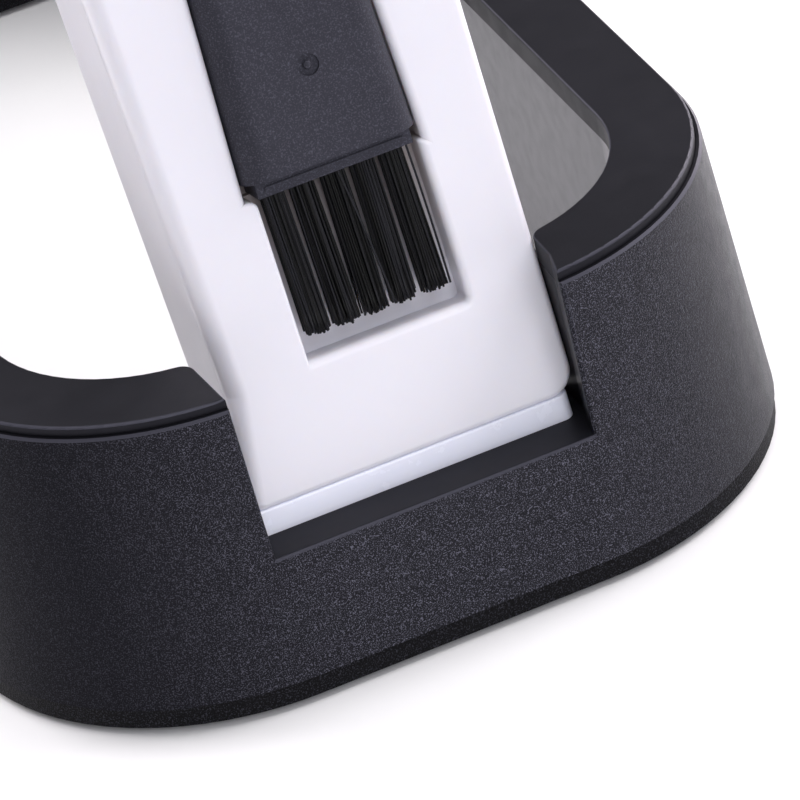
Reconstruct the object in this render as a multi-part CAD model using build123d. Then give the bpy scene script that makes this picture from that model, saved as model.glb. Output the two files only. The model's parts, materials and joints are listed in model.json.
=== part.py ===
# Groove brush in its desk stand: an open ring base, a leaning column and a lift-out brush. Millimetres, +Z up.
# The origin is on the floor under the middle of the base. -Y is the front, where the column stands in a notch.
from build123d import *
from math import cos, radians, sin, tan
import os

# Driving dimensions: the ring base
base_width = 60.0              # at the top edge of the wall
base_depth = 122.0
base_corner_radius = 19.0
base_draft = 4.2               # degrees: the outer wall flares out towards the floor
foot_stand = 0.6               # how far the rubber feet lift the base
wall_height = 23.3             # from the underside of the base to the top edge of the wall
wall_edge_bevel = 0.18
wall_skin = 1.8
plate_width = 6.13             # the smooth plate on top of the ring
plate_proud = 0.75
plate_inset = 0.41             # the narrow step between the wall's edge and the plate
plate_sunk = 1.25
plate_edge_radius = 0.18
plate_end_radius = 1.2         # the plate's inner corners at the notch
cover_thickness = 1.6
cover_reveal = 0.3
ring_gap = 0.05                # moulding gap between fitted covers
hole_clearance = 0.1

# Driving dimensions: the notch and the saddle that carry the column
notch_left = -12.0             # its left side at the top of the wall, from the base's middle
notch_right = 12.5
notch_left_draft = 0.2         # the left side leans in by this much down to the ledge
notch_left_flare = 0.09        # the left side opens inwards by this much per millimetre
notch_right_flare = 0.2        # the right side opens faster, and then runs straight back
notch_right_flare_depth = 3.0
notch_edge_radius = 0.3
ledge_height = 11.3            # above the underside of the base
ledge_thickness = 2.0
saddle_half_width = 9.6
saddle_reach = 17.0            # from the outer wall's top edge to the back of the saddle
saddle_corner_radius = 1.5

# Driving dimensions: what is fitted inside and under the base
cover_screw_rows = (-30.0, 6.0, 42.0)
cover_screw_head_radius = 1.8
cover_screw_head_height = 0.9
cover_screw_shank_radius = 1.0
cover_screw_length = 8.0
cover_boss_radius = 2.2
foot_radius = 2.75
foot_sunk = 0.8
foot_edge_radius = 0.25
ballast_height = 13.0
ballast_thickness = 2.6
ballast_clearance = 0.8        # from a bar's end to the nearest screw boss
ballast_edge = 0.4

# Driving dimensions: the column, in its own frame of across, up the column and out of its face
column_lean = 15.7             # degrees, backwards
column_offset = 1.1            # the column's middle lies this far right of the base's middle
column_set_in = 2.35           # from the wall's top edge to the column's face, at the ledge
column_length = 90.0
column_thickness = 13.0
column_left = 11.55            # the foot's reach to the left of the column's middle
column_left_widening = 0.03    # reach gained per millimetre up the column
column_right = 11.9
column_right_widening = 0.006
foot_flare_width = 1.55        # the foot flares out on the left to fill the notch
foot_flare_height = 10.0
column_skin = 1.6
left_edge_radius = 1.3         # the soft edge along the left of the column's face
right_edge_radius = 0.5
column_back_radius = 2.0
right_foot_radius = 2.0        # rounded lower right corner of the face; the left one is square
shell_parting = 1.75           # depth of the line between the two shells
shell_gap = 0.02
end_cap_height = 1.68
end_cap_left = -12.0           # from the base's middle
end_cap_right = 12.3
end_cap_corner_radius = 0.8
end_cap_edge_radius = 0.15
top_cap_height = 1.6
top_cap_corner_radius = 1.5
top_cap_edge_radius = 0.7

# Driving dimensions: the screws that join the two shells
shell_screw_half_spacing = 7.0
shell_screw_heights = (8.3, 83.5)
shell_boss_radius = 1.9
shell_boss_depth = 5.0
shell_screw_radius = 0.9
shell_screw_head_radius = 1.7
shell_screw_head_height = 1.1

# Driving dimensions: the steel spine inside the column and its screws
spine_half_width = 4.2
spine_thickness = 1.5
spine_front = 8.6              # behind the column's face
spine_top = 66.0
spine_corner_radius = 2.0
spine_foot_half_width = 8.0
spine_foot_thickness = 1.8
spine_foot_front = 3.0         # how far the foot reaches in front of its screws
spine_foot_corner = 1.0
column_screw_half_spacing = 5.0
column_screw_set_in = 10.5     # from the outer wall's top edge
column_screw_shank_radius = 1.25
column_screw_head_radius = 2.4
column_screw_head_height = 1.6
screw_recess_width = 0.45

# Driving dimensions: the recess and the brush
recess_bottom = 10.6           # up the column from the ledge
recess_shoulder = 22.6         # where the bristle zone meets the handle zone
bristle_zone_low = (-5.8, 6.3)     # its left and right sides at the bottom of the recess
bristle_zone_high = (-5.85, 6.25)  # and at the shoulder
bristle_zone_depth = 2.4       # also the depth of the finger scoop
handle_zone_depth = 3.2
pocket_skin = 1.2
brush_gap = 0.1
scoop_radius = 8.0
scoop_drop = 1.0               # from the handle's far end down to the middle of the scoop
recess_edge_radius = 0.6       # soft edge where the recess meets the column's face
recess_crisp_radius = 0.2      # the same edge along the left of the bristles
shoulder_radius = 0.6
recess_corner_radius = 0.4
scoop_corner_radius = 1.0
head_half_width = 6.5          # at the bristle end of the handle
handle_end_half_width = 4.7
handle_end_rounding = 0.9      # of the half width
handle_top = 72.0
handle_proud = 1.2             # how far the handle stands out of the column's face
handle_edge_radius = 2.1
head_step_height = 1.1
head_step_drop = 0.7
head_step_inset = 0.75         # the stepped end is this much narrower on each side
head_rib_height = 0.3
head_rib_proud = 0.12
head_rib_inset = 0.6
dimple_height = 30.5
dimple_offset = 0.2
dimple_radius = 0.78
dimple_depth = 0.22
dome_radius = 0.36
tuft_count = 5
tuft_pitch = 2.13
tuft_root_radius = 0.93
tuft_tip_radius = 1.04
tuft_hole_radius = 0.95
tuft_hole_depth = 3.2
tuft_held = 2.9                # length of the folded end in the hole
tuft_tip = 12.1                # up the column from the ledge
tuft_depth = 0.9               # the row of tufts lies this far behind the column's face
anchor_size = (1.7, 1.2, 0.3)
anchor_height = 2.0            # above the mouth of the tuft's hole

# Derived places
beyond = 200.0                 # larger than anything here, for trimming
margin = 1.0                   # how far a cutting body reaches past what it cuts
base_floor = foot_stand
housing_bottom = base_floor + cover_thickness
wall_top = base_floor + wall_height
roof = wall_top - plate_sunk - wall_skin
ledge_z = base_floor + ledge_height
front_y = -base_depth / 2
ring_width = plate_width + plate_inset
flare = tan(radians(base_draft))
side_wall_x = base_width / 2 - ring_width / 2
column_screw_y = front_y + column_screw_set_in
body_top = column_length - top_cap_height - ring_gap
front_shell_low = end_cap_height / cos(radians(column_lean))
handle_back = handle_zone_depth - brush_gap
brush_low = recess_shoulder + brush_gap

column_plane = Plane(
    origin=(column_offset, front_y + column_set_in, ledge_z),
    x_dir=(1, 0, 0),
    z_dir=(0, -cos(radians(column_lean)), sin(radians(column_lean))),
)


# Shared shapes

def ring_outline(inset, z):
    """The base's rounded outline at height z, moved inwards by inset."""
    grow = 2 * (flare * (wall_top - z) - inset)
    radius = base_corner_radius + grow / 2
    return Plane.XY.offset(z) * RectangleRounded(base_width + grow, base_depth + grow, radius)


def drafted_body(inset, bottom, top):
    """A solid that follows the base's flared wall between two heights."""
    return loft([ring_outline(inset, bottom), ring_outline(inset, top)], ruled=True)


def straight_body(inset, bottom, top):
    """An upright solid with the outline that the base has at the top of its wall, moved inwards by inset."""
    outline = RectangleRounded(base_width - 2 * inset, base_depth - 2 * inset, base_corner_radius - inset)
    return extrude(Plane.XY.offset(bottom) * outline, amount=top - bottom)


def block(x_low, x_high, y_low, y_high, z_low, z_high):
    """An upright box between two corners."""
    size = (x_high - x_low, y_high - y_low, z_high - z_low)
    middle = ((x_low + x_high) / 2, (y_low + y_high) / 2, (z_low + z_high) / 2)
    return Pos(*middle) * Box(*size)


def post(x, y, radius, z_low, z_high):
    """An upright cylinder."""
    return Pos(x, y, (z_low + z_high) / 2) * Cylinder(radius, z_high - z_low)


def polygon(*corners):
    """A flat face from its corners."""
    return make_face(Polyline(*corners, close=True))


def pan_screw(head_radius, head_height, shank_radius, length):
    """A screw standing on its head, with a cross recess cut in the head's underside."""
    head = Pos(0, 0, head_height / 2) * Cylinder(head_radius, head_height)
    shank = Pos(0, 0, head_height + length / 2) * Cylinder(shank_radius, length)
    recess_depth = head_height * 0.45
    recess_length = head_radius * 1.1
    cross = Box(recess_length, screw_recess_width, recess_depth) + Box(screw_recess_width, recess_length, recess_depth)
    point = shank.faces().sort_by(Axis.Z)[-1].edges()
    return chamfer(point, shank_radius * 0.5) + head - Pos(0, 0, recess_depth / 2) * cross


def write(shape, node):
    """Writes one sub-part."""
    export_step(shape, f"parts/{node}.step")


# The base

def cover_screw_points():
    """Three screws along each side wall and one in the back wall."""
    sides = [(side * side_wall_x, y) for side in (-1, 1) for y in cover_screw_rows]
    return sides + [(0.0, base_depth / 2 - ring_width / 2)]


def column_screw_points():
    """The two screws that hold the column."""
    return [(column_offset + side * column_screw_half_spacing, column_screw_y) for side in (-1, 1)]


def foot_points():
    """The middle of the ring at its four corners."""
    diagonal = (base_corner_radius - ring_width / 2) * sin(radians(45))
    x = base_width / 2 - base_corner_radius + diagonal
    y = base_depth / 2 - base_corner_radius + diagonal
    ends = {"front": -1, "rear": 1}
    sides = {"left": -1, "right": 1}
    return {f"{end}_{side}": (sx * x, sy * y) for end, sy in ends.items() for side, sx in sides.items()}


def notch_outline(narrowing, z):
    """The notch seen from above at height z, widening inwards."""
    front_reach = 5.0
    back_reach = ring_width + 3.0
    left_front = notch_left + narrowing + notch_left_flare * front_reach
    left_back = notch_left + narrowing - notch_left_flare * back_reach
    right_front = notch_right - notch_right_flare * front_reach
    right_back = notch_right + notch_right_flare * notch_right_flare_depth
    y_low, y_bend, y_high = front_y - front_reach, front_y + notch_right_flare_depth, front_y + back_reach
    right_side = [(right_front, y_low), (right_back, y_bend), (right_back, y_high)]
    return Plane.XY.offset(z) * polygon((left_front, y_low), *right_side, (left_back, y_high))


def notch_cutter():
    """The open space of the notch above its ledge."""
    slope = notch_left_draft / (wall_top - ledge_z)
    top = wall_top + plate_proud + margin
    widening = slope * (top - wall_top)
    return loft([notch_outline(notch_left_draft, ledge_z), notch_outline(-widening, top)], ruled=True)


def notch_surround():
    """What stays solid round the notch: its ledge and its two end walls."""
    left = notch_left - notch_left_flare * ring_width - wall_skin
    right = notch_right + notch_right_flare * notch_right_flare_depth + wall_skin
    y_low, y_high = front_y - 4.0, front_y + ring_width + margin
    return block(left, right, y_low, y_high, ledge_z - ledge_thickness, wall_top)


def saddle(skin, bottom, top):
    """The block behind the notch that carries the column, drawn in by skin."""
    x_low, x_high = column_offset - saddle_half_width + skin, column_offset + saddle_half_width - skin
    y_low, y_high = front_y + ring_width - wall_skin + skin, front_y + saddle_reach - skin
    return block(x_low, x_high, y_low, y_high, bottom, top)


def notch_edges(tub):
    """The notch's two upright outer edges and the front edge of its ledge."""
    near_front = [e for e in tub.edges() if e.center().Y < front_y + 1.5 and e.length > 5.0]
    upright = [e for e in near_front if ledge_z + 1.0 < e.center().Z < wall_top - 1.0]
    upright = [e for e in upright if notch_right / 2 < abs(e.center().X) < notch_right + 1.0]
    ledge_front = [e for e in near_front if abs(e.center().Z - ledge_z) < 0.2]
    return upright + ledge_front


def base_housing():
    """The drafted ring tub, hollow from below, with the notch, the saddle and the screw bosses."""
    bevel_low = wall_top - wall_edge_bevel
    tub = drafted_body(0.0, housing_bottom, bevel_low)
    tub += loft([ring_outline(0.0, bevel_low), ring_outline(wall_edge_bevel, wall_top)], ruled=True)
    tub -= straight_body(ring_width, housing_bottom - margin, wall_top + margin)
    cavity = drafted_body(wall_skin, housing_bottom - margin, roof)
    cavity -= straight_body(ring_width - wall_skin, housing_bottom - 2 * margin, roof + margin)
    cavity -= notch_surround()
    for x, y in cover_screw_points():
        cavity -= post(x, y, cover_boss_radius, housing_bottom, roof)
    saddle_block = saddle(0.0, housing_bottom, ledge_z)
    saddle_back = saddle_block.edges().filter_by(Axis.Z).group_by(Axis.Y)[-1]
    tub = tub - cavity + fillet(saddle_back, saddle_corner_radius)
    tub -= saddle(wall_skin, housing_bottom - margin, ledge_z - ledge_thickness)
    tub -= notch_cutter()
    tub -= straight_body(plate_inset, wall_top - plate_sunk, wall_top + margin)
    for x, y in cover_screw_points():
        tub -= post(x, y, cover_screw_shank_radius, housing_bottom - margin, housing_bottom + cover_screw_length)
    for x, y in column_screw_points():
        tub -= post(x, y, column_screw_shank_radius + hole_clearance, housing_bottom, ledge_z + margin)
    return fillet(notch_edges(tub), notch_edge_radius)


def base_top_plate():
    """The smooth plate let into the top of the ring, open at the notch, with softened edges."""
    bottom = wall_top - plate_sunk + ring_gap
    top = wall_top + plate_proud
    plate = straight_body(plate_inset + ring_gap, bottom, top)
    plate -= straight_body(ring_width, bottom - margin, top + margin)
    plate -= notch_cutter()
    inner_y = front_y + ring_width - margin
    near_notch = [e for e in plate.edges() if abs(e.center().X) < notch_right + 2.0 and inner_y < e.center().Y < 0]
    plate = fillet([e for e in near_notch if e.length < 2.5 and abs(e.tangent_at(0.5).Z) > 0.9], plate_end_radius)
    rim = plate.faces().sort_by(Axis.Z)[-1].outer_wire().edges()
    return fillet(rim, plate_edge_radius)


def base_bottom_cover():
    """The flat ring that closes the tub from below, with the foot pockets and countersunk screw holes."""
    bottom, top = base_floor, housing_bottom
    cover = drafted_body(cover_reveal, bottom, top) - straight_body(ring_width, bottom - margin, top + margin)
    cover += saddle(0.0, bottom, top)
    for x, y in foot_points().values():
        cover -= post(x, y, foot_radius + ring_gap, bottom - margin, bottom + foot_sunk)
    for x, y in cover_screw_points():
        cover -= post(x, y, cover_screw_shank_radius + hole_clearance, bottom - margin, top + margin)
        sink = bottom + cover_screw_head_height
        cover -= post(x, y, cover_screw_head_radius + hole_clearance, bottom - margin, sink)
    return cover


def base_cover_screws():
    """The screws that hold the bottom cover, as one group."""
    length = cover_thickness - cover_screw_head_height + cover_screw_length - margin
    head_height = cover_screw_head_height - hole_clearance
    screw = pan_screw(cover_screw_head_radius, head_height, cover_screw_shank_radius - ring_gap, length)
    bottom = base_floor + ring_gap
    return Compound(children=[Pos(x, y, bottom) * screw for x, y in cover_screw_points()])


def rubber_foot(x, y):
    """One round foot with a softened lower edge, standing on the floor."""
    foot = post(x, y, foot_radius, 0.0, foot_stand + foot_sunk)
    return fillet(foot.faces().sort_by(Axis.Z)[0].edges(), foot_edge_radius)


def ballast_bar(side, y_low, y_high):
    """One steel bar in a side wall's channel, between two screw bosses."""
    inner = base_width / 2 - ring_width + wall_skin + hole_clearance
    x_low, x_high = sorted((side * inner, side * (inner + ballast_thickness)))
    bottom = housing_bottom + hole_clearance
    bar = block(x_low, x_high, y_low, y_high, bottom, bottom + ballast_height)
    return chamfer(bar.edges().filter_by(Axis.Z), ballast_edge)


# The column

def left_reach(height):
    """How far the column reaches left of its middle at a height up the column."""
    return column_left + column_left_widening * height


def right_reach(height):
    """How far the column reaches right of its middle at a height up the column."""
    return column_right + column_right_widening * height


def column_outline(low, inset):
    """The column's outline in its own frame: a tapered strip whose foot flares out on the left."""
    high = body_top - inset
    left_low = left_reach(low) + foot_flare_width - inset
    left_middle = left_reach(foot_flare_height) - inset
    right_side = [(right_reach(low) - inset, low), (right_reach(body_top) - inset, high)]
    left_side = [(inset - left_reach(body_top), high), (-left_middle, foot_flare_height), (-left_low, low)]
    return polygon(*right_side, *left_side)


def column_prism(face, front, back):
    """Extrudes a face of the column's frame between two depths behind the column's face."""
    return extrude(Pos(0, 0, -back) * face, amount=back - front)


def above_end_cap(shape, gap):
    """Cuts a column piece off level, just above the end cap."""
    level = ledge_z + end_cap_height + gap
    return shape - block(-beyond, beyond, -beyond, beyond, level - beyond, level)


def handle_outline(gap, bottom, top):
    """The handle's tapered outline, made larger all round by gap, with a rounded far end."""
    taper = (head_half_width - handle_end_half_width) / (handle_top - recess_shoulder)
    low = head_half_width + gap - taper * (bottom - recess_shoulder)
    high = head_half_width + gap - taper * (top - recess_shoulder)
    face = polygon((-low, bottom), (low, bottom), (high, top), (-high, top))
    return fillet(face.vertices().sort_by(Axis.Y)[-2:], high * handle_end_rounding)


def bristle_zone(gap):
    """The narrow lower part of the recess, made larger all round by gap."""
    left_low, right_low = bristle_zone_low[0] - gap, bristle_zone_low[1] + gap
    left_high, right_high = bristle_zone_high[0] - gap, bristle_zone_high[1] + gap
    low, high = recess_bottom - gap, recess_shoulder + margin
    return polygon((left_low, low), (right_low, low), (right_high, high), (left_high, high))


def scoop_outline(gap):
    """The round finger scoop at the handle's far end."""
    return Pos(0, handle_top - scoop_drop) * Circle(scoop_radius + gap)


def handle_zone(gap, skin):
    """The wide upper part of the recess, with skin added below its shoulders for the pocket's walls."""
    return handle_outline(gap, recess_shoulder - skin, handle_top + gap)


def recess_outline():
    """The whole recess as one outline, with rounded shoulders and corners."""
    outline = (bristle_zone(0.0) + handle_zone(brush_gap, 0.0) + scoop_outline(0.0)).faces()[0]
    left_shoulder = [v for v in outline.vertices() if abs(v.Y - recess_shoulder) < 0.01 and -6.0 < v.X < 0.0]
    outline = fillet(left_shoulder, shoulder_radius)
    right_shoulder = [v for v in outline.vertices() if abs(v.Y - recess_shoulder) < 0.01 and 0.0 < v.X < 6.45]
    outline = fillet(right_shoulder, shoulder_radius / 6)
    right_corner = [v for v in outline.vertices() if abs(v.Y - recess_bottom) < 0.01 and v.X > 0]
    outline = fillet(right_corner, recess_corner_radius)
    scoop_low = handle_top - scoop_drop - scoop_radius
    scoop_corners = [v for v in outline.vertices() if scoop_low < v.Y < scoop_low + 3.0]
    return fillet(scoop_corners, scoop_corner_radius)


def shell_screw_points():
    """Two screws near the foot of the column and two near its top."""
    return [(side * shell_screw_half_spacing, height) for height in shell_screw_heights for side in (-1, 1)]


def soften_face(shell):
    """Rounds the long edges of the column's face, the left one more than the right one."""
    edges = shell.faces().sort_by(Axis.Z)[-1].edges()
    left = [e for e in edges if e.center().X < -column_left / 2 and e.length > margin]
    shell = fillet(left, left_edge_radius)
    edges = shell.faces().sort_by(Axis.Z)[-1].edges()
    right = [e for e in edges if e.center().X > column_right * 0.8]
    return fillet(right, right_edge_radius)


def soften_recess(shell):
    """Rounds the edges of the recess, more sharply along the left of the bristles."""
    edges = shell.faces().sort_by(Axis.Z)[-1].inner_wires().edges()
    crisp_top = recess_shoulder + margin / 2
    crisp = [e for e in edges if e.center().X < bristle_zone_low[0] / 2 and e.center().Y < crisp_top]
    crisp = [e for e in crisp if e.center().Y > recess_bottom + margin]
    soft = [e for e in edges if e not in crisp]
    shell = fillet(soft, recess_edge_radius)
    edges = shell.faces().sort_by(Axis.Z)[-1].inner_wires().edges()
    crisp = [e for e in edges if e.center().X < bristle_zone_low[0] / 2 and e.center().Y < crisp_top]
    crisp = [e for e in crisp if e.center().Y > recess_bottom + margin]
    return fillet(crisp, recess_crisp_radius)


def column_front_shell():
    """The white front shell: a flat face with soft edges, the stepped brush pocket and the screw bosses."""
    outline = column_outline(front_shell_low, 0.0)
    outline = fillet(outline.vertices().sort_by(Axis.Y)[:2].sort_by(Axis.X)[-1:], right_foot_radius)
    shell = soften_face(column_prism(outline, 0.0, shell_parting))
    inside = shell_parting / 2
    shell += column_prism(handle_zone(brush_gap + pocket_skin, pocket_skin), inside, handle_zone_depth + pocket_skin)
    shell += column_prism(bristle_zone(pocket_skin), inside, bristle_zone_depth + pocket_skin)
    shell += column_prism(scoop_outline(pocket_skin), inside, bristle_zone_depth + pocket_skin)
    for x, height in shell_screw_points():
        shell += column_prism(Pos(x, height) * Circle(shell_boss_radius), inside, shell_boss_depth)
    shell -= column_prism(recess_outline(), -margin, bristle_zone_depth)
    shell = soften_recess(shell)
    shell -= column_prism(handle_zone(brush_gap, 0.0), bristle_zone_depth - margin / 2, handle_zone_depth)
    for x, height in shell_screw_points():
        shell -= column_prism(Pos(x, height) * Circle(shell_screw_radius), inside, shell_boss_depth + margin)
    return above_end_cap(column_plane * shell, shell_gap)


def column_rear_shell():
    """The deep white rear shell, open towards the front shell, with the screw sockets in its back."""
    front = shell_parting + ring_gap
    shell = column_prism(column_outline(0.0, 0.0), front, column_thickness)
    back_edges = shell.faces().sort_by(Axis.Z)[0].edges()
    shell = fillet([e for e in back_edges if e.center().Y > margin], column_back_radius)
    inside = column_outline(-margin, column_skin)
    shell -= column_prism(inside, front - margin, column_thickness - column_skin)
    socket_bottom = column_thickness - shell_screw_head_height - 2 * hole_clearance
    for x, height in shell_screw_points():
        boss = Pos(x, height) * Circle(shell_boss_radius)
        shell += column_prism(boss, shell_boss_depth + ring_gap, column_thickness - margin / 2)
    for x, height in shell_screw_points():
        place = Pos(x, height)
        hole, socket = shell_screw_radius + hole_clearance, shell_screw_head_radius + hole_clearance
        shell -= column_prism(place * Circle(hole), front, column_thickness + margin)
        shell -= column_prism(place * Circle(socket), socket_bottom, column_thickness + margin)
    return above_end_cap(column_plane * shell, shell_gap)


def column_shell_screws():
    """The four screws driven from the column's back into the front shell's bosses, as one group."""
    set_in = 2 * hole_clearance
    length = column_thickness - shell_screw_head_height - set_in - shell_parting - margin
    screw = pan_screw(shell_screw_head_radius, shell_screw_head_height, shell_screw_radius - ring_gap, length)
    screws = [Pos(x, height, set_in - column_thickness) * screw for x, height in shell_screw_points()]
    return Compound(children=[column_plane * placed for placed in screws])


def column_end_cap():
    """The band under the column: a plate whose front continues the column's face down to the ledge."""
    reach = 8.0
    left, right = end_cap_left - column_offset, end_cap_right - column_offset
    cap = column_prism(polygon((left, -reach), (right, -reach), (right, reach), (left, reach)), 0.0, column_thickness)
    cap = fillet(cap.edges().filter_by(Axis.Y), end_cap_corner_radius)
    cap = above_end_cap(column_plane * cap, -end_cap_height)
    level = ledge_z + end_cap_height
    cap -= block(-beyond, beyond, -beyond, beyond, level, level + beyond)
    cap = fillet(cap.faces().sort_by(Axis.Z)[-1].edges(), end_cap_edge_radius)
    for x, y in column_screw_points():
        cap -= post(x, y, column_screw_shank_radius + hole_clearance, ledge_z - margin, level + margin)
    return cap


def column_top_cap():
    """The plate that closes the column's upper end, with rounded corners and a soft top edge."""
    low = column_length - top_cap_height
    depth = column_thickness - 4 * hole_clearance
    width = left_reach(low) + right_reach(low)
    middle = (right_reach(low) - left_reach(low)) / 2
    section = Pos(-middle, -column_thickness / 2) * RectangleRounded(width, depth, top_cap_corner_radius)
    across = Plane(origin=(0, low, 0), x_dir=(1, 0, 0), z_dir=(0, 1, 0))
    cap = extrude(across * Rot(0, 0, 180) * section, amount=top_cap_height)
    return column_plane * fillet(cap.faces().sort_by(Axis.Y)[-1].edges(), top_cap_edge_radius)


def column_spine():
    """A folded steel strip: a foot plate on the end cap and a tongue up the inside of the column."""
    level = ledge_z + end_cap_height + ring_gap
    reach, low = spine_half_width, -2.0
    tongue_face = polygon((-reach, low), (reach, low), (reach, spine_top), (-reach, spine_top))
    tongue_face = fillet(tongue_face.vertices().sort_by(Axis.Y)[-2:], spine_corner_radius)
    tongue = column_plane * column_prism(tongue_face, spine_front, spine_front + spine_thickness)
    tongue -= block(-beyond, beyond, -beyond, beyond, level - beyond, level)
    x_low, x_high = column_offset - spine_foot_half_width, column_offset + spine_foot_half_width
    y_low = column_screw_y - spine_foot_front
    y_high = front_y + column_set_in + spine_front / cos(radians(column_lean)) + spine_foot_thickness
    foot = block(x_low, x_high, y_low, y_high, level, level + spine_foot_thickness)
    spine = tongue + chamfer(foot.edges().filter_by(Axis.Z), spine_foot_corner)
    for x, y in column_screw_points():
        spine -= post(x, y, column_screw_shank_radius, level - margin, level + spine_foot_thickness + margin)
    return spine


def spine_foot_screws():
    """The two screws that come up through the saddle and the end cap into the spine's foot, as one group."""
    head_bottom = ledge_z - ledge_thickness - column_screw_head_height
    length = ledge_thickness + end_cap_height + ring_gap + spine_foot_thickness
    shank_radius = column_screw_shank_radius - ring_gap
    screw = pan_screw(column_screw_head_radius, column_screw_head_height, shank_radius, length)
    return Compound(children=[Pos(x, y, head_bottom) * screw for x, y in column_screw_points()])


# The brush

def tuft_positions():
    """The tufts' places across the head."""
    middle = (tuft_count - 1) / 2
    return [(index - middle) * tuft_pitch for index in range(tuft_count)]


def tuft_frame(x):
    """A frame at the mouth of a tuft's hole that points down the column, towards the tuft's tip."""
    return Plane(origin=(x, brush_low, -tuft_depth), x_dir=(1, 0, 0), z_dir=(0, -1, 0))


def stepped_head(body):
    """Steps the bristle end of the handle down and in, and lays a fine rib along the step."""
    step_top = brush_low + head_step_height
    reach = 2 * head_half_width
    step = polygon((-reach, 0.0), (reach, 0.0), (reach, step_top), (-reach, step_top))
    body -= column_prism(step, -handle_proud - margin, head_step_drop - handle_proud)
    kept_reach = head_half_width - head_step_inset
    for side in (-1, 1):
        inner, outer = side * kept_reach, side * reach
        body -= column_prism(
            polygon((inner, 0.0), (outer, 0.0), (outer, step_top), (inner, step_top)),
            -handle_proud - margin, handle_zone_depth,
        )
    rib = Pos(0, brush_low + head_step_height / 2) * Rectangle(2 * (kept_reach - head_rib_inset), head_rib_height)
    return body + column_prism(rib, head_step_drop - handle_proud - head_rib_proud, margin)


def brush_handle():
    """The moulded handle: a wide head with a stepped end, soft edges, a gate dimple and the tuft holes."""
    body = column_prism(handle_outline(0.0, brush_low, handle_top), -handle_proud, handle_back)
    face_edges = body.faces().sort_by(Axis.Z)[-1].edges()
    body = fillet([e for e in face_edges if e.center().Y > brush_low + margin], handle_edge_radius)
    body = stepped_head(body)
    dimple = Pos(dimple_offset, dimple_height)
    body -= column_prism(dimple * Circle(dimple_radius), -handle_proud - margin, dimple_depth - handle_proud)
    body += Pos(dimple_offset, dimple_height, handle_proud - dimple_depth) * Sphere(dome_radius)
    hole_length = tuft_hole_depth + margin
    for x in tuft_positions():
        body -= tuft_frame(x) * Pos(0, 0, margin - hole_length / 2) * Cylinder(tuft_hole_radius, hole_length)
    return column_plane * body


def anchor_blade(x):
    """The flat metal staple that pins a tuft's fold at the bottom of its hole."""
    return Pos(x, brush_low + anchor_height, -tuft_depth) * Box(*anchor_size)


def bristle_tuft(x):
    """One tuft: a slightly flared bundle with its folded end in the head's hole."""
    frame = tuft_frame(x)
    length = brush_low - tuft_tip
    free_end = frame * Pos(0, 0, length / 2) * Cone(tuft_root_radius, tuft_tip_radius, length)
    fold = frame * Pos(0, 0, -tuft_held / 2) * Cylinder(tuft_root_radius, tuft_held)
    return column_plane * (free_end + fold - anchor_blade(x))


def tuft_anchors():
    """The five staples, as one group."""
    return Compound(children=[column_plane * anchor_blade(x) for x in tuft_positions()])


os.makedirs("parts", exist_ok=True)

write(base_housing(), "base_housing")
write(base_top_plate(), "base_top_plate")
write(base_bottom_cover(), "base_bottom_cover")
write(base_cover_screws(), "base_cover_screws")
for place, (foot_x, foot_y) in foot_points().items():
    write(rubber_foot(foot_x, foot_y), f"rubber_foot_{place}")
bar_rows = {"front": cover_screw_rows[:2], "rear": cover_screw_rows[1:]}
bar_end = cover_boss_radius + ballast_clearance
for side_name, side_sign in (("left", -1), ("right", 1)):
    for end_name, (row_low, row_high) in bar_rows.items():
        bar = ballast_bar(side_sign, row_low + bar_end, row_high - bar_end)
        write(bar, f"ballast_bar_{side_name}_{end_name}")

write(column_front_shell(), "column_front_shell")
write(column_rear_shell(), "column_rear_shell")
write(column_end_cap(), "column_end_cap")
write(column_top_cap(), "column_top_cap")
write(column_spine(), "column_spine")
write(column_shell_screws(), "column_shell_screws")
write(spine_foot_screws(), "spine_foot_screws")

write(brush_handle(), "brush_handle")
write(tuft_anchors(), "tuft_anchors")
for number, tuft_x in enumerate(tuft_positions(), start=1):
    write(bristle_tuft(tuft_x), f"bristle_tuft_{number}")
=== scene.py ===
"""Looks for the groove brush in its stand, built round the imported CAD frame. Metres, +Z up, front at -Y."""
import json
from math import cos, pi, radians, sin, sqrt

import bmesh
import bpy
import numpy as np
from mathutils import Matrix, Vector


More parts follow.
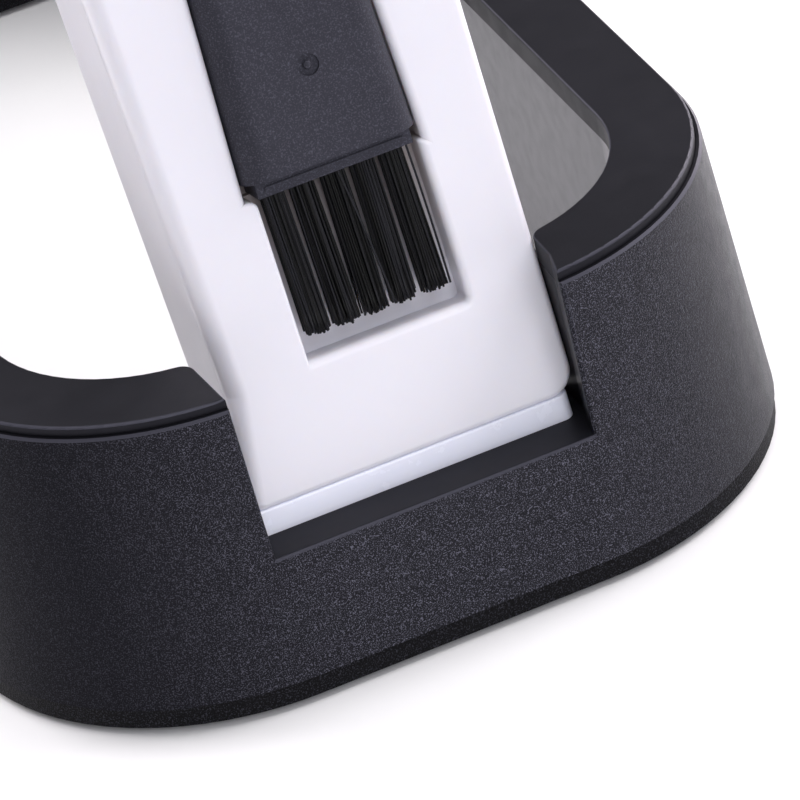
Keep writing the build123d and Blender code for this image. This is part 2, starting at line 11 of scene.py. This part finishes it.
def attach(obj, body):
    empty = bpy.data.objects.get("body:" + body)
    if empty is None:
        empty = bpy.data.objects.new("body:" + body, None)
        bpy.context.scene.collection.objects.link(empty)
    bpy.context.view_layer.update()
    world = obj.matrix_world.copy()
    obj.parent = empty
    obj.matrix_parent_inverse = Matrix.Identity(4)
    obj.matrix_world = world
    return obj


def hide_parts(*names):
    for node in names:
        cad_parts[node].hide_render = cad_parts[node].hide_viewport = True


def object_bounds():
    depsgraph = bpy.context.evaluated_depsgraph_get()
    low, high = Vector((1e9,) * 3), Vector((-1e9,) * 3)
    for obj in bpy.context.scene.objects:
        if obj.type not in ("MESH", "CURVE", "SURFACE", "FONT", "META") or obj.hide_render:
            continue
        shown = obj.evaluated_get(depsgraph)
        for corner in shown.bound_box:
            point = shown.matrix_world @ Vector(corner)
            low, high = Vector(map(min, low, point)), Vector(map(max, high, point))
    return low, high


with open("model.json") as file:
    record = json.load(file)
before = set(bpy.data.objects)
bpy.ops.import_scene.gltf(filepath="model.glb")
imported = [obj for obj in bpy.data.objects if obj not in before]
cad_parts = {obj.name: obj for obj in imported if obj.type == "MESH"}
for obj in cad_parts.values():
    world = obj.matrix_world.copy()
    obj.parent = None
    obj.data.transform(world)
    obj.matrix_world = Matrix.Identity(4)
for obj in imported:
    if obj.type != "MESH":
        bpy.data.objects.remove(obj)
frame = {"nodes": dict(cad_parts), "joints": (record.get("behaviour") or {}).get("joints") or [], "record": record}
cad_low, cad_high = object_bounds()
NODES = frame["nodes"]
MM = 0.001

# Camera, as the photograph sees the object
CAMERA_AZIMUTH = 14.09         # degrees, from the front towards the left
CAMERA_ELEVATION = 31.24
CAMERA_ROLL = -13.69
CAMERA_PLACE = Vector((-74.143, -354.896, 203.655)) * MM
CAMERA_LENS = 233.4            # for a 36 mm wide sensor
SENSOR_WIDTH = 36.0
CLIP_START = 0.01              # metres from the camera
CLIP_END = 20.0

# Light
WORLD_COLOUR = (1.0, 0.99, 1.0, 1.0)
WORLD_STRENGTH = 0.15
SOFTBOX_DISTANCE = 0.8
SOFTBOX_SIZE = 0.5
SOFTBOX_TARGET = Vector((0.0, -0.03, 0.02))
SOFTBOXES = (                  # name, azimuth from the front towards the right, elevation, watts, colour
    ("right", 84, 40, 5.0, (1.0, 0.96, 0.99)),
    ("front", 2, 30, 2.5, (0.98, 0.98, 1.05)),
    ("back_right", 125, 12, 4.6, (1.0, 0.92, 0.97)),
    ("back_left", -143, 33, 5.2, (1.0, 0.95, 0.98)),
    ("back_top", 180, 70, 2.4, (1.0, 0.98, 1.0)),
    ("overhead", 10, 78, 1.4, (1.0, 0.99, 1.0)),
)
FLOOR_SIZE = 3.0

# Tints: what a grey's red, green and blue are multiplied by
NEUTRAL = (1.0, 1.0, 1.0)
COOL = (1.0, 1.0, 1.28)
WARM = (1.0, 0.74, 0.62)
COOL_GLOSS = (0.92, 0.92, 1.12, 1.0)

# Black plastics: the darker and lighter grey of their clouds, the grey of the painted highlight on bevels, and the
# greys of the painted glints on the grain
BASE_GREYS = (0.006, 0.009)
COVER_GREYS = (0.002, 0.004)
HANDLE_GREYS = (0.022, 0.034)
# The grey of the painted highlight on the bevels
BEVEL_HIGHLIGHT_GREY = 0.045
# Greys of the painted glints: bright specks of reflected light painted into the grain's base colour
WALL_PAINTED_GLINT_GREY = 0.11
COVER_PAINTED_GLINT_GREY = 0.06
HANDLE_PAINTED_GLINT_GREY = 0.09
# These noise ranges pick the grain's peaks that get painted glints
WALL_GLINT_NOISE = (0.51, 0.72)      # the noise values over which the sparkle sets in
COVER_GLINT_NOISE = (0.52, 0.76)
HANDLE_GLINT_NOISE = (0.50, 0.75)
COVER_GLINT_SHARE = 0.5
HANDLE_GLINT_SHARE = 0.6
WALL_LUMP_SHARE = 0.5                  # of the coarse lumps against the fine grain
HANDLE_LUMP_SHARE = 0.8
SATIN_SPECULAR = 0.15
COVER_SPECULAR = 0.08
NYLON_SPECULAR = 0.2

# White plastics: the grey and tint of their darker and lighter clouds
SHELL_COLOURS = ((0.72, (1.0, 0.99, 1.07)), (0.75, (1.0, 0.99, 1.06)))
CAP_COLOURS = ((0.80, (0.98, 1.01, 1.19)), (0.84, (0.98, 1.01, 1.17)))

# The wall's spark-eroded grain and its painted glints, and where both are weaker
GRAIN_SIZE = 0.09 * MM
GRAIN_DEPTH = 0.14 * MM
FADING_X = (-24 * MM, -6 * MM)         # weaker towards the left
FADED_SHARE = 0.25
CALMING_X = (12 * MM, 25 * MM)         # weaker towards the right
CALM_SHARE = 0.3
NOTCH_END_Y = (-54 * MM, -53 * MM)     # the notch's walls are in front of this
RING_INSIDE = (-6 * MM, -3 * MM)       # normal dot place: negative where a wall faces the ring's middle
RING_OUTSIDE = (0.0, 5 * MM)
INSIDE_POLISH = 0.16
INSIDE_GLOSS = 0.34

# The brown painted shade in the brush recess, and the ranges over which it sets in or ends
RECESS_SHADE_GREY = 0.24
RECESS_SHADE_TOP = (0.4 * MM, 1.8 * MM)       # below the column's face
RECESS_SHADE_BOTTOM = (4.0 * MM, 4.6 * MM)
RECESS_SHADE_SIDES = (6.9 * MM, 7.3 * MM)     # from the tuft row's middle
RECESS_SHADE_END = (1 * MM, 4 * MM)           # above the tufts' roots
RECESS_SHADE_STRENGTH = (0.05, 0.95)          # at the tufts' tips and at their roots

# Metals: tint, darkest grey, lightest grey, roughness
METALS = {
    "anchor_brass": ((1.0, 0.78, 0.42), 0.6, 0.75, 0.32),
    "screw_steel": ((1.0, 1.0, 1.03), 0.5, 0.62, 0.34),
    "spine_steel": ((1.0, 1.0, 1.01), 0.5, 0.6, 0.38),
    "ballast_steel": ((1.0, 0.99, 0.97), 0.3, 0.42, 0.5),
}
ROUGHNESS_SWING = 0.07

# How far a surface faces up, from 0 for a wall to 1 for a level face
# BEVEL_START and BEVEL_END pick the bevels that get the painted highlight
BEVEL_START = (0.25, 0.45)
BEVEL_END = (0.85, 0.97)
UPRIGHT_END = (0.45, 0.75)

# Most of a noise texture's values are between these
NOISE_SPREAD = (0.3, 0.7)

# The numbers of the Mix node's colour sockets
MIX_SHARE = 0
MIX_FIRST = 6
MIX_SECOND = 7
MIX_RESULT = 2

# Bristles
HAIRS_PER_TUFT = 92
HAIR_RADIUS = 0.085 * MM
HAIR_SIDES = 6
HAIR_RINGS = 9
HAIR_SEED = 11
HAIR_THICKNESS = (0.88, 1.1)           # shares of the radius
GOLDEN_ANGLE = pi * (3.0 - sqrt(5.0))
TURN_JITTER = 0.25
REACH_JITTER = (0.93, 1.0)
ROOT_SPREAD = 0.93                     # share of the CAD bundle's radius
TIP_SPREAD = 1.03
TIP_SCATTER = 0.07 * MM
TIP_UNEVENNESS = 0.22 * MM
HAIR_BOW = 0.05 * MM
END_GAP = 0.3 * MM                     # from a hair's end to the CAD bundle's end
TUFT_SHIFTS = {                        # how far the roots and the tips are off the CAD bundle's middle, in mm
    "bristle_tuft_1": (-0.35, -0.02),
    "bristle_tuft_2": (-0.28, -0.02),
    "bristle_tuft_3": (-0.1, 0.04),
    "bristle_tuft_4": (0.02, 0.02),
    "bristle_tuft_5": (0.0, 0.22),
}
STRAY_HAIRS = {                        # where a loose hair's root and tip are, across from the middle, in mm
    "bristle_tuft_3": (-0.2, 1.25),
    "bristle_tuft_5": (0.9, 1.12),
}
STRAY_BOW = 0.1 * MM
STRAY_SHADE = 4.0                      # past every other hair's, so the lightest colour

# The column's own directions, from the joint that lifts the brush straight out of it
LIFT = frame["joints"][0]
OUT = Vector(LIFT["axis"]).normalized()
ACROSS = Vector((1.0, 0.0, 0.0))
UP = OUT.cross(ACROSS)


def extent(node):
    """The lowest and highest places of a CAD node, each as across, up and out of the column."""
    corners = np.array([vertex.co for vertex in NODES[node].data.vertices])
    places = corners @ np.array([ACROSS, UP, OUT]).T
    return places.min(0), places.max(0)


def column_point(across, up, out):
    """The point with these places across, up and out of the column."""
    return ACROSS * float(across) + UP * float(up) + OUT * float(out)


def add_object(name, data):
    """Puts a new object with this data into the scene."""
    added = bpy.data.objects.new(name, data)
    bpy.context.scene.collection.objects.link(added)
    return added


# Node materials

def grey(value, tint=NEUTRAL):
    """A grey of this value with a tint, as red, green, blue and alpha."""
    return tuple(value * share for share in tint) + (1.0,)


class Shader:
    """Builds one procedural material, node by node."""

    def __init__(self, name):
        """Starts with a principled surface that is linked to the output."""
        self.material = bpy.data.materials.new(name)
        self.material.use_nodes = True
        self.tree = self.material.node_tree
        self.tree.nodes.clear()
        self.output = self.add("ShaderNodeOutputMaterial")
        self.surface = self.add("ShaderNodeBsdfPrincipled")
        self.link(self.surface, "BSDF", self.output, "Surface")
        self.coords = self.add("ShaderNodeTexCoord")
        self.geometry = self.add("ShaderNodeNewGeometry")

    def add(self, kind, **settings):
        """Adds a node of one kind."""
        node = self.tree.nodes.new(kind)
        for name, value in settings.items():
            setattr(node, name, value)
        return node

    def link(self, source, output, target, name):
        """Links one node's output to another node's input."""
        self.tree.links.new(source.outputs[output], target.inputs[name])

    def put(self, target, name, value):
        """Sets an input to a number or colour, or links it to a (node, output) pair."""
        if isinstance(value, tuple) and isinstance(value[0], bpy.types.Node):
            self.link(value[0], value[1], target, name)
        else:
            target.inputs[name].default_value = value

    def noise(self, size, detail=3.0, roughness=0.55, stretch=(1.0, 1.0, 1.0)):
        """Noise whose features are about size across, in metres."""
        mapping = self.add("ShaderNodeMapping")
        mapping.inputs["Scale"].default_value = stretch
        self.link(self.coords, "Object", mapping, "Vector")
        node = self.add("ShaderNodeTexNoise")
        self.link(mapping, "Vector", node, "Vector")
        node.inputs["Scale"].default_value = 1.0 / size
        node.inputs["Detail"].default_value = detail
        node.inputs["Roughness"].default_value = roughness
        return node, "Fac"

    def remap(self, value, source, target):
        """Stretches a value from one (low, high) range to another, and keeps it inside."""
        node = self.add("ShaderNodeMapRange")
        self.put(node, "Value", value)
        for name, number in zip(("From Min", "From Max", "To Min", "To Max"), source + target):
            node.inputs[name].default_value = number
        return node, "Result"

    def rising(self, value, source):
        """From 0 to 1 while the value passes through a range."""
        return self.remap(value, source, (0.0, 1.0))

    def falling(self, value, source):
        """From 1 to 0 while the value passes through a range."""
        return self.remap(value, source, (1.0, 0.0))

    def maths(self, operation, first, second=0.0):
        """Adds, subtracts or multiplies two values, or makes one positive."""
        node = self.add("ShaderNodeMath", operation=operation)
        self.put(node, 0, first)
        self.put(node, 1, second)
        return node, "Value"

    def times(self, first, *others):
        """The product of several values."""
        product = first
        for other in others:
            product = self.maths("MULTIPLY", product, other)
        return product

    def blend(self, share, first, second):
        """Mixes two colours: all of the first at a share of 0, all of the second at 1."""
        node = self.add("ShaderNodeMix", data_type="RGBA")
        self.put(node, MIX_SHARE, share)
        self.put(node, MIX_FIRST, first)
        self.put(node, MIX_SECOND, second)
        return node, MIX_RESULT

    def bump(self, height, strength, distance):
        """A surface normal from a height."""
        node = self.add("ShaderNodeBump")
        self.put(node, "Height", height)
        self.put(node, "Strength", strength)
        self.put(node, "Distance", distance)
        return node, "Normal"

    def clouds(self, size, first, second, detail=3.0):
        """Soft patches of two colours, about size across."""
        return self.blend(self.noise(size, detail), first, second)

    def uneven(self, size, low, high, detail=4.0):
        """A number that wanders between low and high, in patches about size across."""
        return self.remap(self.noise(size, detail), NOISE_SPREAD, (low, high))

    def dot(self, first, second):
        """The dot product of two vector outputs, or of one and a fixed vector."""
        node = self.add("ShaderNodeVectorMath", operation="DOT_PRODUCT")
        self.put(node, 0, first)
        self.put(node, 1, second)
        return node, "Value"

    def along(self, direction):
        """How far the shaded point lies along a direction, in metres."""
        return self.dot((self.coords, "Object"), direction)

    def part(self, source, output, axis):
        """One axis of a vector."""
        node = self.add("ShaderNodeSeparateXYZ")
        self.link(source, output, node, "Vector")
        return node, axis

    def paint_bevel_highlights(self, colour):
        """Paints a highlight on the narrow bevels between a wall and a level face by lightening the colour there.
        """
        level = self.part(self.geometry, "Normal", "Z")
        bevel = self.times(self.rising(level, BEVEL_START), self.falling(level, BEVEL_END))
        return self.blend(bevel, colour, grey(BEVEL_HIGHLIGHT_GREY, COOL))

    def finish(self, **inputs):
        """Sets the surface's inputs, named with _ for a space, and gives back the material."""
        for name, value in inputs.items():
            self.put(self.surface, name.replace("_", " "), value)
        return self.material


def grained_black():
    """Black plastic: grain with painted glints on the outer walls, glossy inside the ring, smooth in the notch."""
    s = Shader("grained_black")
    facing = s.dot((s.geometry, "Normal"), (s.coords, "Object"))
    sideways = s.part(s.coords, "Object", "X")
    behind_notch = s.rising(s.part(s.coords, "Object", "Y"), NOTCH_END_Y)
    inner = s.times(s.falling(facing, RING_INSIDE), behind_notch)
    upright = s.falling(s.part(s.geometry, "Normal", "Z"), UPRIGHT_END)
    fading = s.remap(sideways, FADING_X, (FADED_SHARE, 1.0))
    calming = s.remap(sideways, CALMING_X, (1.0, CALM_SHARE))
    grain_and_glints = s.times(upright, s.rising(facing, RING_OUTSIDE), fading, calming)
    grit = s.noise(GRAIN_SIZE, detail=0.5, roughness=0.5)
    lumps = s.noise(0.35 * MM, detail=1.0)
    height = s.maths("ADD", grit, s.times(lumps, WALL_LUMP_SHARE))
    darker, lighter = [grey(value, COOL) for value in BASE_GREYS]
    plain = s.clouds(14 * MM, darker, lighter)
    # Painted glints: the grain's peaks lightened in the base colour, dimmed where the grain is weaker
    painted_glint = s.times(s.rising(grit, WALL_GLINT_NOISE), grain_and_glints)
    satin = s.uneven(1.4 * MM, low=0.34, high=0.42)
    return s.finish(
        Base_Color=s.paint_bevel_highlights(s.blend(painted_glint, plain, grey(WALL_PAINTED_GLINT_GREY, COOL))),
        Roughness=s.maths("SUBTRACT", satin, s.times(inner, INSIDE_POLISH)),
        Normal=s.bump(height, strength=grain_and_glints, distance=GRAIN_DEPTH),
        Specular_IOR_Level=s.maths("ADD", s.times(inner, INSIDE_GLOSS), s.times(fading, SATIN_SPECULAR)),
        Specular_Tint=COOL_GLOSS,
    )


def smooth_black():
    """Smooth satin charcoal plastic with faint flow marks."""
    s = Shader("smooth_black")
    darker, lighter = [grey(value, COOL) for value in BASE_GREYS]
    return s.finish(
        Base_Color=s.paint_bevel_highlights(s.clouds(9 * MM, darker, lighter)),
        Roughness=s.uneven(2 * MM, low=0.42, high=0.50),
        Normal=s.bump(s.noise(0.25 * MM), strength=0.12, distance=0.02 * MM),
        Specular_IOR_Level=SATIN_SPECULAR,
        Specular_Tint=COOL_GLOSS,
    )


def cover_black():
    """Dull black plastic with nearly the same grain as the wall above it, and painted glints on the grain."""
    s = Shader("cover_black")
    grit = s.noise(0.11 * MM, detail=0.5, roughness=0.5)
    darker, lighter = [grey(value, COOL) for value in COVER_GREYS]
    plain = s.clouds(6 * MM, darker, lighter)
    # Painted glints on the cover's grain
    painted_glint = s.remap(grit, COVER_GLINT_NOISE, (0.0, COVER_GLINT_SHARE))
    return s.finish(
        Base_Color=s.blend(painted_glint, plain, grey(COVER_PAINTED_GLINT_GREY, COOL)),
        Roughness=s.uneven(1.5 * MM, low=0.45, high=0.55),
        Normal=s.bump(grit, strength=0.5, distance=0.1 * MM),
        Specular_IOR_Level=COVER_SPECULAR,
    )


def painted_recess_shade(s):
    """How much painted shade falls in the brush recess: most near the brush head, and not at all outside the
    recess.
    """
    _, (_, _, face) = extent("column_front_shell")
    (left, tips, _), (right, roots, _) = extent("bristle_tuft_3")
    depth = s.maths("SUBTRACT", float(face), s.along(OUT))
    upwards = s.along(UP)
    off_middle = s.maths("ABSOLUTE", s.maths("SUBTRACT", s.along(ACROSS), float((left + right) / 2)))
    return s.times(
        s.rising(depth, RECESS_SHADE_TOP),
        s.falling(depth, RECESS_SHADE_BOTTOM),
        s.falling(off_middle, RECESS_SHADE_SIDES),
        s.remap(upwards, (float(tips), float(roots)), RECESS_SHADE_STRENGTH),
        s.falling(upwards, tuple(float(roots) + rise for rise in RECESS_SHADE_END)),
    )


def white_shell():
    """Semi-gloss cool white plastic with a faint orange peel, and a brown painted shade in the brush recess."""
    s = Shader("white_shell")
    darker, lighter = [grey(*colour) for colour in SHELL_COLOURS]
    unshaded = s.clouds(18 * MM, darker, lighter, detail=2.0)
    return s.finish(
        # Painted shade: the recess darkened to brown, most under the brush head
        Base_Color=s.blend(painted_recess_shade(s), unshaded, grey(RECESS_SHADE_GREY, WARM)),
        Roughness=s.uneven(3 * MM, low=0.28, high=0.36),
        Normal=s.bump(s.noise(1.1 * MM, detail=2.0), strength=0.12, distance=0.02 * MM),
        Subsurface_Weight=0.25,
        Subsurface_Radius=(1.0, 0.75, 0.55),
        Subsurface_Scale=1.2 * MM,
    )


def cap_white():
    """Glossy bluish white plastic."""
    s = Shader("cap_white")
    darker, lighter = [grey(*colour) for colour in CAP_COLOURS]
    return s.finish(
        Base_Color=s.clouds(7 * MM, darker, lighter, detail=2.0),
        Roughness=s.uneven(2 * MM, low=0.2, high=0.3),
        Normal=s.bump(s.noise(0.8 * MM), strength=0.1, distance=0.02 * MM),
        Subsurface_Weight=0.35,
        Subsurface_Radius=(0.8, 0.9, 1.1),
        Subsurface_Scale=1.0 * MM,
    )


def handle_black():
    """Satin black plastic with a fine moulded grain and painted glints on it."""
    s = Shader("handle_black")
    lumps = s.noise(0.7 * MM, detail=2.0)
    height = s.maths("ADD", s.noise(0.22 * MM), s.times(lumps, HANDLE_LUMP_SHARE))
    darker, lighter = [grey(value, COOL) for value in HANDLE_GREYS]
    plain = s.clouds(5 * MM, darker, lighter)
    grit = s.noise(0.12 * MM, detail=1.0)
    # Painted glints on the handle's grain
    painted_glint = s.remap(grit, HANDLE_GLINT_NOISE, (0.0, HANDLE_GLINT_SHARE))
    return s.finish(
        Base_Color=s.blend(painted_glint, plain, grey(HANDLE_PAINTED_GLINT_GREY, COOL)),
        Roughness=s.uneven(1.0 * MM, low=0.36, high=0.44),
        Normal=s.bump(height, strength=0.6, distance=0.03 * MM),
        Specular_IOR_Level=SATIN_SPECULAR,
        Specular_Tint=COOL_GLOSS,
    )


def bristle_nylon():
    """Black nylon filament, a little different from hair to hair."""
    s = Shader("bristle_nylon")
    shade = s.add("ShaderNodeAttribute", attribute_name="hair_shade")
    return s.finish(
        Base_Color=s.blend((shade, "Fac"), grey(0.003), grey(0.012, COOL)),
        Roughness=s.uneven(0.4 * MM, low=0.3, high=0.42, detail=2.0),
        Normal=s.bump(s.noise(0.12 * MM), strength=0.2, distance=0.01 * MM),
        Specular_IOR_Level=NYLON_SPECULAR,
    )


def foot_rubber():
    """Dull dark rubber with a coarse skin."""
    s = Shader("foot_rubber")
    return s.finish(
        Base_Color=s.clouds(2 * MM, grey(0.02), grey(0.035)),
        Roughness=s.uneven(0.6 * MM, low=0.72, high=0.86),
        Normal=s.bump(s.noise(0.3 * MM), strength=0.35, distance=0.03 * MM),
    )


def metal(name, tint, darkest, lightest, roughness):
    """Metal with fine lines drawn along Y."""
    s = Shader(name)
    lines = s.noise(0.5 * MM, roughness=0.5, stretch=(1.0, 0.08, 1.0))
    return s.finish(
        Base_Color=s.blend(lines, grey(darkest, tint), grey(lightest, tint)),
        Metallic=1.0,
        Roughness=s.remap(lines, NOISE_SPREAD, (roughness - ROUGHNESS_SWING, roughness + ROUGHNESS_SWING)),
        Normal=s.bump(lines, strength=0.2, distance=0.01 * MM),
    )


def floor_paper():
    """Matt white studio paper."""
    s = Shader("floor_paper")
    return s.finish(
        Base_Color=s.clouds(40 * MM, grey(0.96), grey(0.97), detail=2.0),
        Roughness=0.9,
        Normal=s.bump(s.noise(1.0 * MM), strength=0.05, distance=0.02 * MM),
    )


def dress(obj, material):
    """Gives an object one material in its only slot."""
    if not obj.material_slots:
        obj.data.materials.append(material)
    for place in obj.material_slots:
        place.material = material


MAKERS = (
    grained_black, smooth_black, cover_black, white_shell,
    cap_white, handle_black, bristle_nylon, foot_rubber,
)
MATERIALS = {maker.__name__: maker() for maker in MAKERS}
MATERIALS.update({name: metal(name, *look) for name, look in METALS.items()})
for row in frame["record"]["subparts"]:
    dress(NODES[row["node"]], MATERIALS[row["material_slot"]])


# Bristles: each tuft is a bundle of separate filaments

def hair_line(root, tip, bow):
    """Points of one filament from root to tip. Halfway, it is off the straight line by the whole bow."""
    line = []
    for index in range(HAIR_RINGS):
        share = index / (HAIR_RINGS - 1)
        line.append(root.lerp(tip, share) + bow * (share * (1.0 - share) * 4.0))
    return line


def add_hair(mesh, line, radius, shade):
    """Adds a closed tube along a line of points."""
    turns = [2 * pi * corner / HAIR_SIDES for corner in range(HAIR_SIDES)]
    rings = []
    for index, point in enumerate(line):
        ahead = line[min(index + 1, len(line) - 1)] - line[max(index - 1, 0)]
        side = ahead.cross(OUT).normalized()
        front = side.cross(ahead).normalized()
        ring = [point + (side * cos(turn) + front * sin(turn)) * radius for turn in turns]
        rings.append([mesh.verts.new(place) for place in ring])
    shades = mesh.verts.layers.float["hair_shade"]
    for vertex in sum(rings, []):
        vertex[shades] = shade
    for low, high in zip(rings, rings[1:]):
        for here in range(HAIR_SIDES):
            after = (here + 1) % HAIR_SIDES
            mesh.faces.new((low[here], low[after], high[after], high[here])).smooth = True
    mesh.faces.new(rings[0][::-1])
    mesh.faces.new(rings[-1])


def add_bundle(mesh, node, random, root_shift, tip_shift):
    """Fills the round bundle of a tuft with filaments, evenly spread."""
    (left, tip_level, back), (right, root_level, front) = extent(node)
    middle = np.array([(left + right) / 2, (back + front) / 2])
    bundle_radius = (front - back) / 2
    for index in range(HAIRS_PER_TUFT):
        turn = index * GOLDEN_ANGLE + random.uniform(-TURN_JITTER, TURN_JITTER)
        reach = sqrt((index + 0.5) / HAIRS_PER_TUFT) * random.uniform(*REACH_JITTER)
        place = np.array([cos(turn), sin(turn)]) * reach
        at_root = middle + place * (bundle_radius * ROOT_SPREAD - HAIR_RADIUS) + (root_shift, 0.0)
        at_tip = middle + place * (bundle_radius * TIP_SPREAD - HAIR_RADIUS) + (tip_shift, 0.0)
        at_tip = at_tip + random.normal(0.0, TIP_SCATTER, 2)
        tip_up = tip_level + abs(random.normal(0.0, TIP_UNEVENNESS))
        root = column_point(at_root[0], root_level - END_GAP, at_root[1])
        tip = column_point(at_tip[0], tip_up, at_tip[1])
        bow = column_point(random.normal(0.0, HAIR_BOW), 0.0, random.normal(0.0, HAIR_BOW))
        shade = random.uniform(0.0, 1.0) ** 2
        add_hair(mesh, hair_line(root, tip, bow), HAIR_RADIUS * random.uniform(*HAIR_THICKNESS), shade)


def add_stray_hair(mesh, node):
    """Lays one loose, paler hair across the front of a tuft."""
    (left, tip_level, _), (right, root_level, front) = extent(node)
    root_across, tip_across = [(left + right) / 2 + place * MM for place in STRAY_HAIRS[node]]
    root = column_point(root_across, root_level - END_GAP, front + HAIR_RADIUS)
    tip = column_point(tip_across, tip_level + END_GAP, front + HAIR_RADIUS)
    add_hair(mesh, hair_line(root, tip, column_point(STRAY_BOW, 0.0, 0.0)), HAIR_RADIUS, STRAY_SHADE)


def bristle_tuft(node, random):
    """Puts a tuft of filaments in place of the CAD node's solid bundle."""
    mesh = bmesh.new()
    mesh.verts.layers.float.new("hair_shade")
    root_shift, tip_shift = TUFT_SHIFTS[node]
    add_bundle(mesh, node, random, root_shift * MM, tip_shift * MM)
    if node in STRAY_HAIRS:
        add_stray_hair(mesh, node)
    data = bpy.data.meshes.new(node + "_hairs")
    mesh.to_mesh(data)
    mesh.free()
    piece = add_object(node + "_hairs", data)
    dress(piece, MATERIALS["bristle_nylon"])
    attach(piece, "brush")
    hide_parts(node)


hair_random = np.random.default_rng(HAIR_SEED)
for tuft in sorted(TUFT_SHIFTS):
    bristle_tuft(tuft, hair_random)


# Floor, camera and light

def add_floor():
    """A wide sheet of paper under the object."""
    half = FLOOR_SIZE / 2
    level = cad_low.z
    corners = [(-half, -half, level), (half, -half, level), (half, half, level), (-half, half, level)]
    data = bpy.data.meshes.new("floor")
    data.from_pydata(corners, [], [(0, 1, 2, 3)])
    data.materials.append(floor_paper())
    floor = add_object("floor", data)


def add_camera():
    """The camera at the photograph's viewing angle, and the scene's own camera."""
    azimuth, elevation = radians(CAMERA_AZIMUTH), radians(CAMERA_ELEVATION)
    forward = Vector((sin(azimuth) * cos(elevation), cos(azimuth) * cos(elevation), -sin(elevation)))
    level = forward.to_track_quat("-Z", "Y").to_matrix().to_4x4()
    roll = Matrix.Rotation(radians(CAMERA_ROLL), 4, "Z")
    data = bpy.data.cameras.new("camera")
    data.lens = CAMERA_LENS
    data.sensor_width = SENSOR_WIDTH
    data.clip_start = CLIP_START
    data.clip_end = CLIP_END
    camera = add_object("camera", data)
    camera.matrix_world = Matrix.Translation(CAMERA_PLACE) @ level @ roll
    bpy.context.scene.camera = camera


def add_softbox(name, azimuth, elevation, power, colour):
    """A square area light that faces the object from one direction."""
    turn, rise = radians(azimuth), radians(elevation)
    towards = Vector((sin(turn) * cos(rise), -cos(turn) * cos(rise), sin(rise)))
    data = bpy.data.lights.new(name, "AREA")
    data.size = SOFTBOX_SIZE
    data.energy = power
    data.color = colour
    light = add_object(name, data)
    light.location = SOFTBOX_TARGET + towards * SOFTBOX_DISTANCE
    light.rotation_euler = (-towards).to_track_quat("-Z", "Y").to_euler()


def add_world():
    """A faint even light from all around."""
    world = bpy.data.worlds.new("studio")
    bpy.context.scene.world = world
    world.use_nodes = True
    background = world.node_tree.nodes["Background"]
    background.inputs["Color"].default_value = WORLD_COLOUR
    background.inputs["Strength"].default_value = WORLD_STRENGTH


add_floor()
add_camera()
add_world()
for softbox in SOFTBOXES:
    add_softbox(*softbox)
bpy.context.scene.view_settings.view_transform = "Standard"
